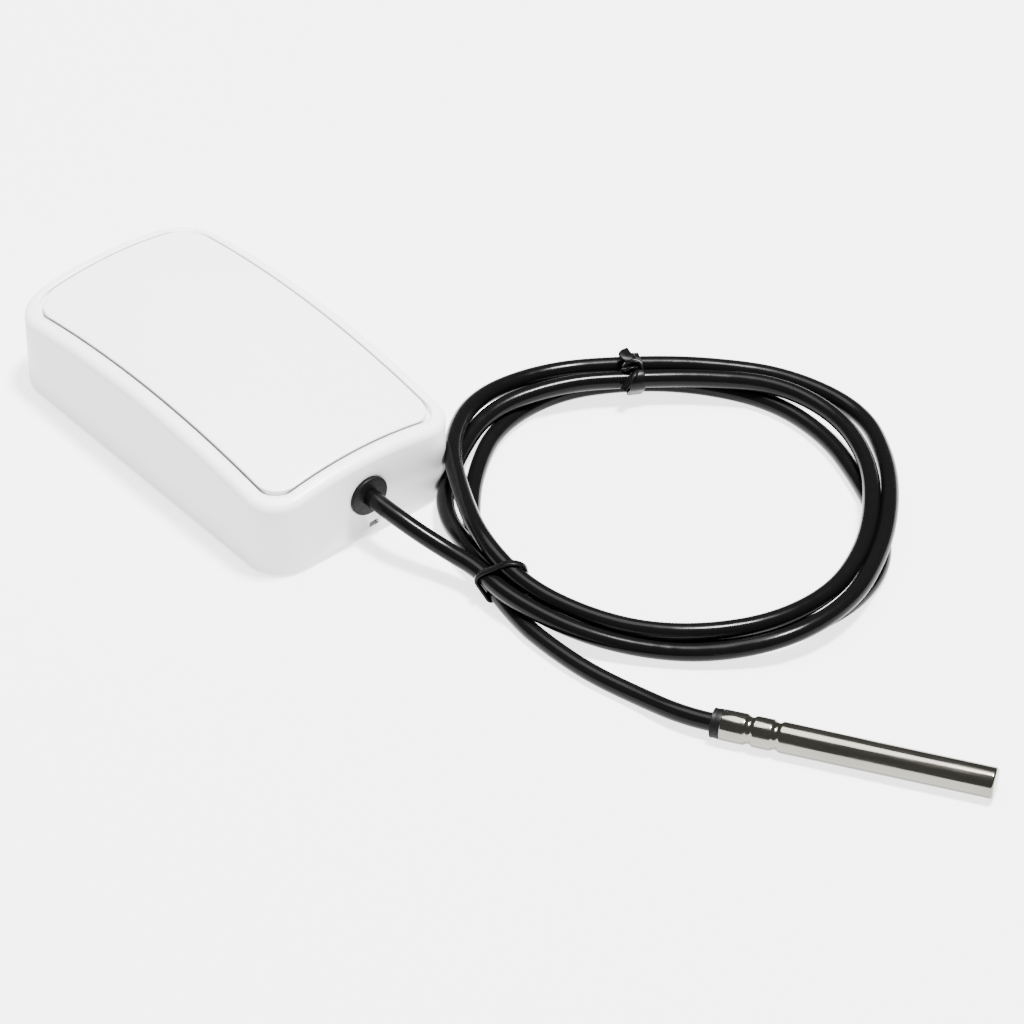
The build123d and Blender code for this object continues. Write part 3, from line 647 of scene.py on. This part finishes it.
def band_mesh(name, loop, width):
    """A strap along a closed loop, as a plain mesh."""
    wire = bpy.data.meshes.new(name)
    wire.from_pydata(loop, [(k, (k + 1) % len(loop)) for k in range(len(loop))], [])
    piece = new_piece(name + "_loop", wire)
    modifier = piece.modifiers.new("strap", "NODES")
    modifier.node_group = band_nodes()
    values = {
        "Width": width,
        "Thickness": tie_thickness,
        "Edge round": tie_thickness * strap_edge_round,
        "Step": strap_step,
        "Finish": finishes["tie_plastic"],
    }
    for item in modifier.node_group.interface.items_tree:
        if item.name in values:
            modifier[item.identifier] = values[item.name]
    graph = bpy.context.evaluated_depsgraph_get()
    mesh = bpy.data.meshes.new_from_object(piece.evaluated_get(graph))
    mesh.name = name
    bpy.data.objects.remove(piece)
    bpy.data.meshes.remove(wire)
    return mesh


def between(values, k, part):
    """A smooth value between the k-th and the next of a row."""
    before = values[max(k - 1, 0)]
    after = values[min(k + 2, len(values) - 1)]
    first, second = values[k], values[k + 1]
    slope_first = (second - before) / 2
    slope_second = (after - first) / 2
    square, cube = part * part, part * part * part
    return (
        first * (2 * cube - 3 * square + 1) + slope_first * (cube - 2 * square + part)
        + second * (3 * square - 2 * cube) + slope_second * (cube - square)
    )


def add_knot_strap(cage, stations, to_world):
    """One strap of the knot, thick in its middle, rounded at its sides and closed at both ends."""
    middles = [Vector(place) for place, _, _ in stations]
    widths = [width for _, width, _ in stations]
    leans = [Vector(lean).normalized() for _, _, lean in stations]
    last = len(stations) - 2
    rows = []
    for k in range(last + 1):
        for step in range(knot_steps + 1 if k == last else knot_steps):
            part = step / knot_steps
            rows.append((between(middles, k, part), between(widths, k, part), between(leans, k, part)))
    rings = []
    for k, (middle, width, lean) in enumerate(rows):
        ahead = (rows[min(k + 1, len(rows) - 1)][0] - rows[max(k - 1, 0)][0]).normalized()
        side = (lean - ahead * lean.dot(ahead)).normalized()
        upwards = side.cross(ahead)
        half = max(width, least_knot_width) / 2
        ring = []
        for at, rise in knot_section:
            spot = middle + side * half * at + upwards * knot_thickness * rise
            ring.append(cage.verts.new(to_world(spot)))
        rings.append(ring)
    faces = [cage.faces.new(rings[0]), cage.faces.new(rings[-1][::-1])]
    for first, second in zip(rings, rings[1:]):
        for k in range(len(first)):
            after = (k + 1) % len(first)
            faces.append(cage.faces.new((first[k], second[k], second[after], first[after])))
    bmesh.ops.recalc_face_normals(cage, faces=faces)
    for face in faces:
        face.smooth = True


def make_upper_tie(name, points):
    """A flat strap round the cables, tied in a knot with two folds and two loose ends on top."""
    outwards = Vector((math.cos(upper_tie_angle), math.sin(upper_tie_angle), 0))
    along = Vector((outwards.y, -outwards.x, 0))
    middle = coil_centre + outwards * upper_tie_radius
    loop = band_loop(points, middle + along * upper_tie_shift, along)
    cage = bmesh.new()
    cage.from_mesh(band_mesh(name, loop, upper_tie_width))

    def to_world(place):
        return middle + (along * place.x + outwards * place.y + Vector((0, 0, place.z))) * mm

    for stations in knot_straps:
        add_knot_strap(cage, stations, to_world)
    mesh = bpy.data.meshes.new(name)
    cage.to_mesh(mesh)
    cage.free()
    return new_piece(name, mesh)


def make_lower_tie(name, points):
    """A narrow smooth band drawn round the cables, a little askew."""
    across = Vector((math.cos(lower_tie_turn), math.sin(lower_tie_turn), 0))
    along = Vector((-across.y, across.x, 0))
    loop = band_loop(points, lower_tie_place, along)
    return new_piece(name, band_mesh(name, loop, lower_tie_width))


make_camera()
finishes = make_finishes()
make_ground()
make_world()
make_light("key", **key_light)
make_light("top", **top_light)

slots = {part["node"]: part["material_slot"] for part in frame["record"]["subparts"]}
for name, node in frame["nodes"].items():
    node.data.materials.clear()
    node.data.materials.append(finishes[slots[name]])

dress(smooth_copy("case_shell", "top_cover", moulded_crisp), "white_plastic", "top_cover")
dress(
    smooth_copy("inlay_panel", "front_panel", moulded_crisp, panel_draw_in),
    "panel_plastic", "front_panel",
)
grommet = dress(
    smooth_copy("rubber_grommet", "cable_grommet", rubber_crisp), "black_rubber", "cable_grommet",
)
collar = dress(turned_piece("probe_collar", collar_line, collar_crisp), "black_rubber", "probe_sleeve")
tube = dress(make_tube("steel_tube"), "probe_steel", "probe_tube")
cable_middle = middle_line()
cord = dress(
    cord_curve("cable", cord_diameter), "cable_jacket", "cable_lead", "cable_coil", "cable_tail",
)
upper_tie = dress(make_upper_tie("knotted_tie", cable_middle), "tie_plastic", "upper_tie")
lower_tie = dress(make_lower_tie("plain_tie", cable_middle), "tie_plastic", "lower_tie")
